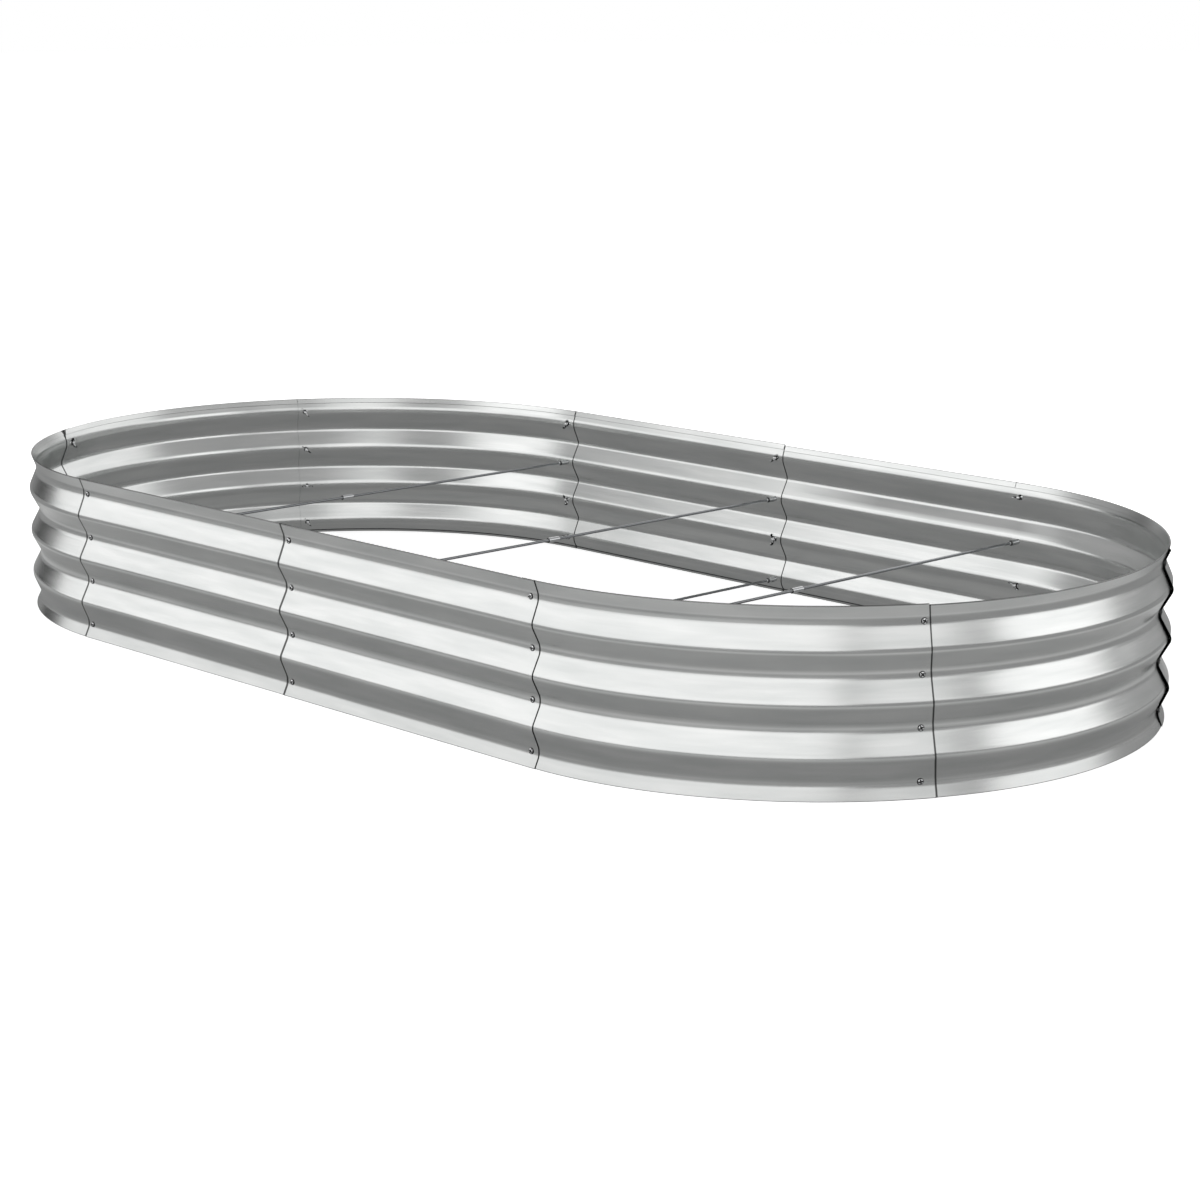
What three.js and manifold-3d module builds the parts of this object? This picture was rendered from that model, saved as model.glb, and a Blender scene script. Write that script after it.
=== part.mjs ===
// A raised garden bed: ten corrugated, galvanised steel panels lapped and screwed into an open oval wall,
// with four tie rods across it. Millimetres, +Z up, X along the bed, the front at -Y.
// The origin is on the ground in the middle of the oval.
import * as THREE from 'three';
import { mergeVertices } from 'three/addons/utils/BufferGeometryUtils.js';
import Module from 'manifold-3d';

const wasm = await Module();
wasm.setup();

// The oval, measured at the bottom of the corrugation's valleys, where the screws sit
const straightLength = 586; // one straight panel, from seam to seam
const endRadius = 585;
const panelsPerEnd = 3;
const bedHeight = 290;

// The sheet and its laps
const sheetThickness = 0.8;
const lapGap = 0.45; // air between two lapped sheets
const lapReach = 14; // from the screw line to the sheet's edge

// The corrugation, from the ground up. Offsets are outward from the valley line.
const screwRows = 4;
const footBand = 24.5; // ground to the lowest screws
const rimBand = 27; // highest screws to the rim
const crestDepth = 16;
const endValleyRise = 3; // the top and bottom valleys are shallower than the two between them
const seatHalfHeight = 6; // flat of a valley, above and below the screws
const crestHalfHeight = 3.5;
const footFlare = 12;
const rimFlare = 11;

// The safe edge along the rim, folded down inside
const hemHeight = 10;
const hemGap = 0.6;
const hemRelief = 2; // a lapped panel's fold stops this far short of its neighbour's
const hemCutDepth = 4; // how far the cut that takes the fold away runs past it

// Screws and wing nuts
const screwRadius = 2.5;
const holeRadius = 3.1;
const headRadius = 5.2;
const headHeight = 3.2;
const headEdgeHeight = 1.6; // the straight side of the head
const headCrown = 2.6; // radius of the flat on top of the head
const drillLength = 8; // of what cuts a screw hole through a sheet
const seatGap = 0.3; // between a sheet and what is tightened on it
const nutBaseRadius = 5.2;
const nutTopRadius = 4;
const nutHeight = 6.5;
const wingSpan = 24;
const wingHeight = 12;
const wingThickness = 2.2;
const wingTipWidth = 4.5;
const wingTipSlant = 1.1; // how far the tip leans in, above where the wing is widest
const wingShoulder = 6; // height at which the wing is widest
const wingRootRise = 1;
const wingRootDepth = 1.6; // how far a wing's root reaches into the hub
const screwTip = 3; // what stands out past the nut

// Tie rods: each is two halves, screwed to the wall by end couplings and joined in the middle
const rodRadius = 2.5;
const endCouplingLength = 25;
const endCouplingRadius = 5;
const middleCouplingLength = 28;
const middleCouplingRadius = 4.4;
const threadClearance = 0.3;
const screwReach = 12; // how far a rod screw goes into its end coupling
const boreRunout = 1.5;

// Facets
const endFacets = 8; // between the two laps of a curved panel
const screwSides = 6;
const rodSides = 8;

const screwPitch = (bedHeight - footBand - rimBand) / (screwRows - 1);
const layerStep = sheetThickness + lapGap;
const stackHalf = sheetThickness + lapGap / 2; // two lapped sheets, from their middle to a face
const curvedLength = (Math.PI * endRadius) / panelsPerEnd;
const endLength = Math.PI * endRadius;

const OUTER = layerStep / 2;
const INNER = -layerStep / 2;

const galvanised = new THREE.MeshStandardMaterial({ color: 0xc9cdcd, roughness: 0.3, metalness: 1 });
const zincPlate = new THREE.MeshStandardMaterial({ color: 0xb4b6b8, roughness: 0.35, metalness: 1 });
const rodSteel = new THREE.MeshStandardMaterial({ color: 0x8f9295, roughness: 0.4, metalness: 1 });

// ---- The oval

// The seams in order round the bed, from the middle of the front towards +X
const seams = [
  { name: 'front_middle', panelBefore: straightLength },
  { name: 'front_right', panelBefore: straightLength },
  { name: 'right_front', panelBefore: curvedLength },
  { name: 'right_back', panelBefore: curvedLength },
  { name: 'back_right', panelBefore: curvedLength },
  { name: 'back_middle', panelBefore: straightLength },
  { name: 'back_left', panelBefore: straightLength },
  { name: 'left_back', panelBefore: curvedLength },
  { name: 'left_front', panelBefore: curvedLength },
  { name: 'front_left', panelBefore: curvedLength },
];
seams.forEach((seam, i) => {
  seam.along = i === 0 ? 0 : seams[i - 1].along + seam.panelBefore;
});
const seamNamed = (name) => seams.find((seam) => seam.name === name);

// A point of the oval and the way outward there, at a distance along it from the middle of the front.
// The back half is the front half turned half round.
function ovalAt(along) {
  const halfLength = 2 * straightLength + endLength;
  const onBack = along > straightLength + endLength && along < straightLength + endLength + halfLength;
  const run = onBack ? along - halfLength : along > halfLength ? along - 2 * halfLength : along;
  const angle = THREE.MathUtils.clamp((run - straightLength) / endRadius, 0, Math.PI) - Math.PI / 2;
  const outward = new THREE.Vector2(Math.cos(angle), Math.sin(angle));
  const centre = new THREE.Vector2(Math.min(run, straightLength), 0);
  const point = centre.addScaledVector(outward, endRadius);
  return onBack ? { point: point.negate(), outward: outward.negate() } : { point, outward };
}

// ---- The sheet's profile, in outward offset (x) and height (y)

const rowHeight = (row) => footBand + (screwRows - row) * screwPitch;
const valleyOffset = (row) => (row === 1 || row === screwRows ? endValleyRise : 0);

// The middle line of the sheet, from the ground over the rim and down into the fold
function sheetLine() {
  const line = [new THREE.Vector2(footFlare, 0)];
  for (let row = screwRows; row >= 1; row--) {
    line.push(new THREE.Vector2(valleyOffset(row), rowHeight(row) - seatHalfHeight));
    line.push(new THREE.Vector2(valleyOffset(row), rowHeight(row) + seatHalfHeight));
    if (row > 1) {
      const crest = rowHeight(row) + screwPitch / 2;
      line.push(new THREE.Vector2(crestDepth, crest - crestHalfHeight));
      line.push(new THREE.Vector2(crestDepth, crest + crestHalfHeight));
    }
  }
  const rim = new THREE.Vector2(rimFlare, bedHeight - sheetThickness / 2);
  const rise = rim.clone().sub(line.at(-1)).normalize();
  const foldTop = rim.clone();
  foldTop.x -= (sheetThickness + hemGap) / rise.y;
  line.push(rim, foldTop, foldTop.clone().addScaledVector(rise, -hemHeight));
  return line;
}

// A line thickened to both sides by half the sheet, with square corners. Its first end is cut level.
function thickened(line) {
  const directions = line.slice(1).map((point, i) => point.clone().sub(line[i]).normalize());
  const rightOf = (direction) => new THREE.Vector2(direction.y, -direction.x);
  const sides = line.map((point, i) => {
    const before = rightOf(directions[Math.max(i - 1, 0)]);
    const after = rightOf(directions[Math.min(i, directions.length - 1)]);
    const way = i === 0 ? new THREE.Vector2(1, 0) : before.clone().add(after).normalize();
    const reach = sheetThickness / 2 / way.dot(after);
    return [point.clone().addScaledVector(way, reach), point.clone().addScaledVector(way, -reach)];
  });
  return [...sides.map((side) => side[0]), ...sides.map((side) => side[1]).reverse()];
}

// The space of the fold behind the sheet, which is cut away where a neighbour's fold lies
function foldSpace() {
  const line = sheetLine();
  const rim = line.at(-3);
  const rise = rim.clone().sub(line.at(-4)).normalize();
  const gapToSheet = hemGap / 4;
  const near = (sheetThickness / 2 + gapToSheet) / rise.y;
  const far = near + hemCutDepth;
  const top = rim.clone().addScaledVector(rise, hemCutDepth);
  const low = rim.clone().addScaledVector(rise, -hemHeight - hemCutDepth);
  const shifted = (point, by) => new THREE.Vector2(point.x - by, point.y);
  return [shifted(low, near), shifted(top, near), shifted(top, far), shifted(low, far)];
}

// ---- Lofts and solids

// A closed outline carried through stations along the oval. A station's layer shifts it outward.
function loft(outline, stations) {
  const positions = [];
  const index = [];
  const count = outline.length;
  for (const { along, layer } of stations) {
    const { point, outward } = ovalAt(along);
    for (const corner of outline) {
      const place = point.clone().addScaledVector(outward, corner.x + layer);
      positions.push(place.x, place.y, corner.y);
    }
  }
  for (let ring = 0; ring < stations.length - 1; ring++) {
    for (let i = 0; i < count; i++) {
      const here = ring * count + i;
      const next = ring * count + ((i + 1) % count);
      index.push(here, here + count, next);
      index.push(next, here + count, next + count);
    }
  }
  const last = (stations.length - 1) * count;
  for (const [a, b, c] of THREE.ShapeUtils.triangulateShape(outline, [])) {
    index.push(a, b, c);
    index.push(last + a, last + c, last + b);
  }
  const geometry = new THREE.BufferGeometry();
  geometry.setAttribute('position', new THREE.Float32BufferAttribute(positions, 3));
  geometry.setIndex(index);
  return geometry;
}

function solid(geometry) {
  const bare = geometry.clone();
  bare.deleteAttribute('normal');
  bare.deleteAttribute('uv');
  const merged = mergeVertices(bare, 1e-4);
  const vertProperties = merged.attributes.position.array;
  const triVerts = new Uint32Array(merged.index.array);
  return new wasm.Manifold(new wasm.Mesh({ numProp: 3, vertProperties, triVerts }));
}

function geometryOf(manifold) {
  const { vertProperties, triVerts } = manifold.getMesh();
  const geometry = new THREE.BufferGeometry();
  geometry.setAttribute('position', new THREE.BufferAttribute(vertProperties, 3));
  geometry.setIndex(new THREE.BufferAttribute(triVerts, 1));
  return geometry;
}

function piece(name, geometry, material) {
  const mesh = new THREE.Mesh(geometry, material);
  mesh.name = name;
  return mesh;
}

// ---- Panels

// The place of a screw: the middle of the flat between the two lap edges, with X along the bed's wall,
// Y up and Z outward
function screwPlace(seam, row) {
  const before = ovalAt(seam.along - lapReach).point;
  const after = ovalAt(seam.along + lapReach).point;
  const alongWall = new THREE.Vector3(after.x - before.x, after.y - before.y, 0).normalize();
  const up = new THREE.Vector3(0, 0, 1);
  const outward = new THREE.Vector3().crossVectors(alongWall, up);
  const middle = before.clone().add(after).multiplyScalar(0.5);
  const origin = new THREE.Vector3(middle.x, middle.y, rowHeight(row));
  origin.addScaledVector(outward, valleyOffset(row));
  return new THREE.Matrix4().makeBasis(alongWall, up, outward).setPosition(origin);
}

function screwHole(seam, row) {
  const hole = new THREE.CylinderGeometry(holeRadius, holeRadius, drillLength, screwSides);
  hole.rotateX(Math.PI / 2);
  return solid(hole.applyMatrix4(screwPlace(seam, row)));
}

// The stations of a panel between two seams: its layer is held through each lap and slides between them
function panelStations(start, end, startLayer, endLayer, facets) {
  const from = start + lapReach;
  const to = end - lapReach;
  const stations = [{ along: start - lapReach, layer: startLayer }];
  for (let i = 0; i <= facets; i++) {
    const share = i / facets;
    stations.push({
      along: THREE.MathUtils.lerp(from, to, share),
      layer: THREE.MathUtils.lerp(startLayer, endLayer, share),
    });
  }
  stations.push({ along: end + lapReach, layer: endLayer });
  return stations;
}

// What an outer lap loses of its fold. A negative way is the panel's first end.
function foldCut(seamAlong, way, layer) {
  const ends = [seamAlong - way * (lapReach + hemRelief), seamAlong + way * (lapReach + hemRelief)];
  const stations = ends.sort((a, b) => a - b).map((along) => ({ along, layer }));
  return solid(loft(foldSpace(), stations));
}

function panel(name, firstSeam, startLayer, endLayer) {
  const startSeam = seamNamed(firstSeam);
  const endSeam = seams[(seams.indexOf(startSeam) + 1) % seams.length];
  const start = startSeam.along;
  const end = start + endSeam.panelBefore;
  const facets = endSeam.panelBefore === curvedLength ? endFacets : 1;
  const stations = panelStations(start, end, startLayer, endLayer, facets);
  let sheet = solid(loft(thickened(sheetLine()), stations));
  if (startLayer === OUTER) sheet = sheet.subtract(foldCut(start, -1, startLayer));
  if (endLayer === OUTER) sheet = sheet.subtract(foldCut(end, 1, endLayer));
  for (let row = 1; row <= screwRows; row++) {
    sheet = sheet.subtract(screwHole(startSeam, row)).subtract(screwHole(endSeam, row));
  }
  return piece(name, geometryOf(sheet), galvanised);
}

const panels = new THREE.Group();
panels.add(panel('panel_front_right', 'front_middle', OUTER, OUTER));
panels.add(panel('panel_corner_right_front', 'front_right', INNER, OUTER));
panels.add(panel('panel_end_right', 'right_front', INNER, INNER));
panels.add(panel('panel_corner_right_back', 'right_back', OUTER, INNER));
panels.add(panel('panel_back_right', 'back_right', OUTER, OUTER));
panels.add(panel('panel_back_left', 'back_middle', INNER, OUTER));
panels.add(panel('panel_corner_left_back', 'back_left', INNER, INNER));
panels.add(panel('panel_end_left', 'left_back', OUTER, INNER));
panels.add(panel('panel_corner_left_front', 'left_front', OUTER, INNER));
panels.add(panel('panel_front_left', 'front_left', OUTER, INNER));

// ---- Screws and wing nuts, along Z with the outside of the bed at +Z

const profilePoint = (radius, height) => new THREE.Vector2(radius, height);

// A profile from its inside end (-Z) to its outside end (+Z), turned about Z
function turned(profile, sides) {
  return new THREE.LatheGeometry(profile, sides).rotateX(Math.PI / 2);
}

// The pan head and the shank down to a level on the inside
function screwProfile(tip) {
  const under = stackHalf + seatGap;
  return [
    profilePoint(0, tip),
    profilePoint(screwRadius, tip),
    profilePoint(screwRadius, under),
    profilePoint(headRadius, under),
    profilePoint(headRadius, under + headEdgeHeight),
    profilePoint(headCrown, under + headHeight),
    profilePoint(0, under + headHeight),
  ];
}

// Both wings in one plate through the hub, standing away from the wall
function wingPlate(base) {
  const shape = new THREE.Shape();
  const root = nutTopRadius - wingRootDepth;
  const corners = [
    [root, wingRootRise],
    [wingSpan / 2, wingShoulder],
    [wingSpan / 2 - wingTipSlant, wingHeight],
    [wingSpan / 2 - wingTipWidth, wingHeight],
    [root, nutHeight - wingRootRise],
  ];
  const mirrored = corners.map(([x, y]) => [-x, y]).reverse();
  shape.setFromPoints([...corners, ...mirrored].map(([x, y]) => new THREE.Vector2(x, y)));
  const plate = new THREE.ExtrudeGeometry(shape, { depth: wingThickness, bevelEnabled: false });
  plate.translate(0, 0, -wingThickness / 2);
  return plate.rotateX(-Math.PI / 2).translate(0, 0, base);
}

function wingScrewGeometry() {
  const base = -stackHalf - seatGap;
  const nut = [
    profilePoint(0, base - nutHeight),
    profilePoint(nutTopRadius, base - nutHeight),
    profilePoint(nutBaseRadius, base),
    profilePoint(0, base),
  ];
  const screw = solid(turned(screwProfile(base - nutHeight - screwTip), screwSides));
  return geometryOf(screw.add(solid(turned(nut, screwSides))).add(solid(wingPlate(base))));
}

// ---- Tie rods

// A rod half from its wall end (0) to the middle. The half that carries the middle coupling has the
// bore that takes the other half.
function rodHalfGeometry(length, carriesCoupling) {
  const bore = rodRadius + threadClearance;
  const boreDepth = screwReach + boreRunout;
  const profile = [
    profilePoint(0, boreDepth),
    profilePoint(bore, boreDepth),
    profilePoint(bore, 0),
    profilePoint(endCouplingRadius, 0),
    profilePoint(endCouplingRadius, endCouplingLength),
    profilePoint(rodRadius, endCouplingLength),
  ];
  if (carriesCoupling) {
    profile.push(
      profilePoint(rodRadius, length - middleCouplingLength / 2),
      profilePoint(middleCouplingRadius, length - middleCouplingLength / 2),
      profilePoint(middleCouplingRadius, length + middleCouplingLength / 2),
      profilePoint(bore, length + middleCouplingLength / 2),
      profilePoint(bore, length),
      profilePoint(0, length),
    );
  } else {
    profile.push(profilePoint(rodRadius, length - boreRunout), profilePoint(0, length - boreRunout));
  }
  return turned(profile, rodSides);
}

// The tie rods, each between a front and a back seam at one row of screws
const tieRods = [
  { name: 'left', front: 'front_left', back: 'back_left', row: 2 },
  { name: 'middle', front: 'front_middle', back: 'back_middle', row: 2 },
  { name: 'right', front: 'front_right', back: 'back_right', row: 2 },
  { name: 'low', front: 'front_middle', back: 'back_middle', row: screwRows },
];
const holdsRod = (seam, row) =>
  tieRods.some((rod) => rod.row === row && (rod.front === seam.name || rod.back === seam.name));

const rods = new THREE.Group();
for (const rod of tieRods) {
  const wallFace = new THREE.Vector3(0, 0, -stackHalf - seatGap);
  const front = wallFace.clone().applyMatrix4(screwPlace(seamNamed(rod.front), rod.row));
  const back = wallFace.clone().applyMatrix4(screwPlace(seamNamed(rod.back), rod.row));
  const across = back.clone().sub(front);
  const alongRod = across.clone().normalize();
  const half = across.length() / 2;
  const frontHalf = piece(`tie_rod_${rod.name}_front`, rodHalfGeometry(half, true), rodSteel);
  frontHalf.position.copy(front);
  frontHalf.quaternion.setFromUnitVectors(new THREE.Vector3(0, 0, 1), alongRod);
  const backHalf = piece(`tie_rod_${rod.name}_back`, rodHalfGeometry(half, false), rodSteel);
  backHalf.position.copy(back);
  backHalf.quaternion.setFromUnitVectors(new THREE.Vector3(0, 0, 1), alongRod.negate());
  rods.add(frontHalf, backHalf);
}

// How far the wing nuts are turned from level, in degrees, top row first. Each was tightened by hand.
const wingTurns = {
  left_back: [50, 40, 0, 55],
  back_left: [120, 0, 60, 5],
  back_middle: [135, 0, 90, 0],
  back_right: [0, 0, 30, 75],
  left_front: [65, 20, 110, 45],
};
const turnStep = 37; // between one wing nut and the next, on the seams that aren't listed
const wingTurn = (seam, row) =>
  wingTurns[seam.name]?.[row - 1] ?? (turnStep * (seams.indexOf(seam) + 2 * row)) % 180;

const fasteners = new THREE.Group();
const rodScrew = turned(screwProfile(-stackHalf - seatGap - screwReach), screwSides);
const wingScrew = wingScrewGeometry();
for (const seam of seams) {
  for (let row = 1; row <= screwRows; row++) {
    const isRodScrew = holdsRod(seam, row);
    const kind = isRodScrew ? 'rod_screw' : 'wing_screw';
    const screw = piece(`${kind}_${seam.name}_${row}`, isRodScrew ? rodScrew : wingScrew, zincPlate);
    screw.applyMatrix4(screwPlace(seam, row));
    if (!isRodScrew) screw.rotateZ(THREE.MathUtils.degToRad(wingTurn(seam, row)));
    fasteners.add(screw);
  }
}

const gardenBed = new THREE.Group();
gardenBed.add(panels, rods, fasteners);
export default gardenBed;
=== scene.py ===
"""A raised garden bed: ten corrugated, galvanised steel panels, lapped and screwed into an open oval wall,
with four tie rods across it. Metres, +Z up, X along the bed, the front at -Y, the ground at 0."""

import math

import bpy
import numpy as np
from mathutils import Matrix, Vector


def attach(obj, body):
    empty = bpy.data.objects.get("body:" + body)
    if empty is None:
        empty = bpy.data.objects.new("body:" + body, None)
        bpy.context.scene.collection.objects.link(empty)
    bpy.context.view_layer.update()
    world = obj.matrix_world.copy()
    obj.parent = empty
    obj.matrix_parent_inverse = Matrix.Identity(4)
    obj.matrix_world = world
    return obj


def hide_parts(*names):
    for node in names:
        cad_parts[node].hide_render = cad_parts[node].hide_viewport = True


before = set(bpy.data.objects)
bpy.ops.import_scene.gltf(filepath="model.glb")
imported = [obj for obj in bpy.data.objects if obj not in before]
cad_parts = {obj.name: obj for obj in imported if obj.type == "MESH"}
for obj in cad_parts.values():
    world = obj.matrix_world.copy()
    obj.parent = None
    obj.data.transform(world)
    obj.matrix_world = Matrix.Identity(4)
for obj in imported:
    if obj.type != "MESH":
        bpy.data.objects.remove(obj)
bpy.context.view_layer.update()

mm = 0.001

# ---- Sizes, as in the frame's solids

# The oval, at the bottom of the corrugation's valleys
straight_length = 586 * mm
end_radius = 585 * mm
panels_per_end = 3
bed_height = 290 * mm

# The sheet and its laps
sheet_thickness = 0.8 * mm
lap_gap = 0.45 * mm
lap_reach = 14 * mm  # from the screw line to the sheet's edge

# The corrugation. Offsets are outward from the valley line.
screw_rows = 4
foot_band = 24.5 * mm
rim_band = 27 * mm
crest_depth = 16 * mm
end_valley_rise = 3 * mm
seat_half_height = 6 * mm
crest_half_height = 3.5 * mm
foot_flare = 12 * mm
rim_flare = 11 * mm
valley_bend = 21 * mm  # radius of the rolled bends
crest_bend = 13 * mm

# The fold along the rim
hem_height = 10 * mm
hem_gap = 0.6 * mm
hem_relief = 2 * mm
hem_cut_depth = 4 * mm
foot_hem_height = 5 * mm  # the smaller fold along the foot
low_rims = {"panel_end_right": 2.5 * mm, "panel_corner_right_back": 2.5 * mm, "panel_back_right": 2.5 * mm}

# Screws and wing nuts
screw_radius = 2.5 * mm
hole_radius = 3.1 * mm
drill_length = 8 * mm
head_radius = 5.2 * mm
head_height = 3.2 * mm
head_edge_height = 1.1 * mm
recess_reach = 3.4 * mm  # of each arm of the cross, from the middle
recess_half_width = 0.8 * mm
recess_depth = 1.9 * mm
recess_slope = 3.2  # of the walls of the cross
cross_shade_reach = 0.35 * mm  # of the painted shade round the cross
unshaded_crown = 0.8  # share of the head's radius inside its painted dark outline
thread_pitch = 0.8 * mm
thread_depth = 0.4 * mm
thread_shown = 5 * mm  # the thread is cut this far up from the tip
seat_gap = 0.3 * mm
nut_base_radius = 5.2 * mm
nut_top_radius = 4 * mm
nut_height = 6.5 * mm
nut_bore_radius = 2.6 * mm
wing_span = 24 * mm
wing_height = 12 * mm
wing_thickness = 2.2 * mm
wing_rounding = 0.9 * mm  # of its edges
wing_tip_width = 4.5 * mm
wing_tip_slant = 1.1 * mm
wing_shoulder = 6 * mm
wing_root_rise = 1 * mm
wing_root_depth = 1.6 * mm
screw_tip = 3 * mm

# Tie rods and couplings
rod_radius = 2.5 * mm
end_coupling_length = 25 * mm
end_coupling_radius = 5 * mm
end_coupling_neck = 3.2 * mm  # length of the narrow neck on the rod's side
middle_coupling_length = 28 * mm
middle_coupling_radius = 4.4 * mm
thread_clearance = 0.3 * mm
screw_reach = 12 * mm
bore_runout = 1.5 * mm

# How many sides round things have
screw_sides = 48
nut_sides = 40  # couplings too
rod_sides = 32  # drilled holes too

all_rows = range(1, screw_rows + 1)  # from the top
screw_pitch = (bed_height - foot_band - rim_band) / (screw_rows - 1)
layer_step = sheet_thickness + lap_gap
stack_half = sheet_thickness + lap_gap / 2
curved_length = math.pi * end_radius / panels_per_end
end_length = math.pi * end_radius
OUTER = layer_step / 2
INNER = -layer_step / 2

# ---- The oval


def oval(along):
    """Points of the oval and the ways outward there, at distances along it from the middle of the front,
    towards +X. A straight run is followed by a half circle; the second half is the first, turned round."""
    half = 2 * straight_length + end_length
    run = (np.asarray(along, float) + straight_length) % (2 * half)
    side = np.where(run < half, 1.0, -1.0)
    run = run % half
    angle = np.clip((run - 2 * straight_length) / end_radius, 0, math.pi) - math.pi / 2
    outward = np.stack([np.cos(angle), np.sin(angle)], -1)
    centre_x = np.minimum(run, 2 * straight_length) - straight_length
    centre = np.stack([centre_x, np.zeros_like(centre_x)], -1)
    return (centre + end_radius * outward) * side[..., None], outward * side[..., None]


seam_order = [
    ("front_middle", straight_length),
    ("front_right", curved_length),
    ("right_front", curved_length),
    ("right_back", curved_length),
    ("back_right", straight_length),
    ("back_middle", straight_length),
    ("back_left", curved_length),
    ("left_back", curved_length),
    ("left_front", curved_length),
    ("front_left", straight_length),
]
seam_along = {}
reached = 0.0
for seam, panel_after in seam_order:
    seam_along[seam] = reached
    reached += panel_after


def row_height(row):
    return foot_band + (screw_rows - row) * screw_pitch


def valley_offset(row):
    return end_valley_rise if row in (1, screw_rows) else 0.0


def screw_place(seam, row):
    """The place of a screw, midway between the two lap edges, with X along the wall, Y up and Z outward."""
    before, after = oval([seam_along[seam] - lap_reach, seam_along[seam] + lap_reach])[0]
    along_wall = Vector((*(after - before), 0)).normalized()
    up = Vector((0, 0, 1))
    outward = along_wall.cross(up)
    origin = Vector((*(before + after) / 2, row_height(row))) + outward * valley_offset(row)
    place = Matrix((along_wall, up, outward)).transposed().to_4x4()
    place.translation = origin
    return place


# ---- Profiles


def filleted(corners, radii, steps, flat_step=None):
    """A line with its inner corners rounded. A corner where the line turns by t becomes an arc that leaves
    its side radius * tan(t / 2) before the corner: start + radius * (sin b * way + (1 - cos b) * across),
    with b from 0 to t. Returns the points and the normals to the right of the way.
    flat_step adds a point that far before and after each arc, so that the flats shade flat."""
    corners = np.asarray(corners, float)
    ways = np.diff(corners, axis=0)
    ways /= np.linalg.norm(ways, axis=1, keepdims=True)
    points = [corners[:1]]
    facing = [ways[:1]]
    for corner, radius, way, next_way in zip(corners[1:-1], radii, ways[:-1], ways[1:]):
        turn = math.atan2(way[0] * next_way[1] - way[1] * next_way[0], way @ next_way)
        reach = radius * math.tan(abs(turn) / 2)
        across = np.array([-way[1], way[0]]) * np.sign(turn)
        bend = np.linspace(0, abs(turn), steps + 1)[:, None]
        arc = corner - reach * way + radius * (np.sin(bend) * way + (1 - np.cos(bend)) * across)
        arc_way = np.cos(bend) * way + np.sin(bend) * across
        if flat_step:
            arc = np.vstack([arc[:1] - flat_step * way, arc, arc[-1:] + flat_step * next_way])
            arc_way = np.vstack([arc_way[:1], arc_way, arc_way[-1:]])
        points.append(arc)
        facing.append(arc_way)
    points = np.vstack([*points, corners[-1:]])
    facing = np.vstack([*facing, ways[-1:]])
    return points, np.stack([facing[:, 1], -facing[:, 0]], -1)


def fold_flanks(rim_drop=0.0):
    """The two flanks that end in a fold, each as its folded corner, the way up the flank and the fold's
    height: the foot's and the rim's. A rim that sits low ends its flank sooner."""
    foot = np.array([foot_flare, sheet_thickness / 2])
    foot_rise = np.array([valley_offset(screw_rows), row_height(screw_rows) - seat_half_height]) - foot
    rim = np.array([rim_flare, bed_height - sheet_thickness / 2])
    rim_rise = rim - [valley_offset(1), row_height(1) + seat_half_height]
    foot_rise /= np.linalg.norm(foot_rise)
    rim_rise /= np.linalg.norm(rim_rise)
    rim -= rim_drop / rim_rise[1] * rim_rise
    return (foot, foot_rise, foot_hem_height), (rim, rim_rise, hem_height)


def sheet_line(rim_drop):
    """The middle line of the sheet as (outward offset, height), from the end of the foot's fold, under and
    up to the rim, over it and down into its fold: straight flanks between rolled bends, and half rounds."""
    (foot, foot_rise, foot_fold), (rim, rim_rise, rim_fold) = fold_flanks(rim_drop)
    fold_width = sheet_thickness + hem_gap
    fold_bend = fold_width / 2 * 0.98  # a little under a half round, so that its two bends stay apart
    foot_turn = foot - [fold_width / foot_rise[1], 0]
    rim_turn = rim - [fold_width / rim_rise[1], 0]
    corners = [foot_turn + foot_fold * foot_rise, foot_turn, foot]
    radii = [fold_bend, fold_bend]
    for row in range(screw_rows, 0, -1):
        low, high = row_height(row) - seat_half_height, row_height(row) + seat_half_height
        corners += [(valley_offset(row), low), (valley_offset(row), high)]
        radii += [valley_bend, valley_bend]
        if row > 1:
            crest = row_height(row) + screw_pitch / 2
            corners += [(crest_depth, crest - crest_half_height), (crest_depth, crest + crest_half_height)]
            radii += [crest_bend, crest_bend]
    corners += [rim, rim_turn, rim_turn - rim_fold * rim_rise]
    radii += [fold_bend, fold_bend]
    return filleted(corners, radii, steps=8, flat_step=0.3 * mm)


def line_length(line):
    """How far along a line each of its points lies."""
    return np.concatenate([[0], np.cumsum(np.linalg.norm(np.diff(line, axis=0), axis=1))])


def fold_spaces():
    """The sections of the cuts that take a lapping panel's two folds away, behind the sheet."""
    spaces = []
    for (corner, rise, fold), upright in zip(fold_flanks(), (-1, 1)):
        near = (sheet_thickness / 2 + hem_gap / 4) / rise[1]
        far = near + hem_cut_depth
        ends = sorted([upright * hem_cut_depth, -upright * (fold + hem_cut_depth)])
        low, top = [corner + end * rise for end in ends]
        spaces.append(np.array([low - [near, 0], top - [near, 0], top - [far, 0], low - [far, 0]]))
    return spaces


# ---- Meshes


def grid_quads(rows, columns):
    """The quads of a grid of points numbered row by row, whose last column meets its first."""
    row, column = np.meshgrid(np.arange(rows - 1), np.arange(columns), indexing="ij")
    here = row * columns + column
    beside = row * columns + (column + 1) % columns
    return np.stack([here, here + columns, beside + columns, beside], -1).reshape(-1, 4)


def new_mesh(name, points, faces):
    mesh = bpy.data.meshes.new(name)
    mesh.from_pydata(np.asarray(points).reshape(-1, 3).tolist(), [], [list(map(int, f)) for f in faces])
    mesh.validate()
    return mesh


def new_object(name, data):
    piece = bpy.data.objects.new(name, data)
    bpy.context.scene.collection.objects.link(piece)
    return piece


def vertices(mesh):
    """The mesh's vertices as an array of points."""
    points = np.empty(len(mesh.vertices) * 3)
    mesh.vertices.foreach_get("co", points)
    return points.reshape(-1, 3)


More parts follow.
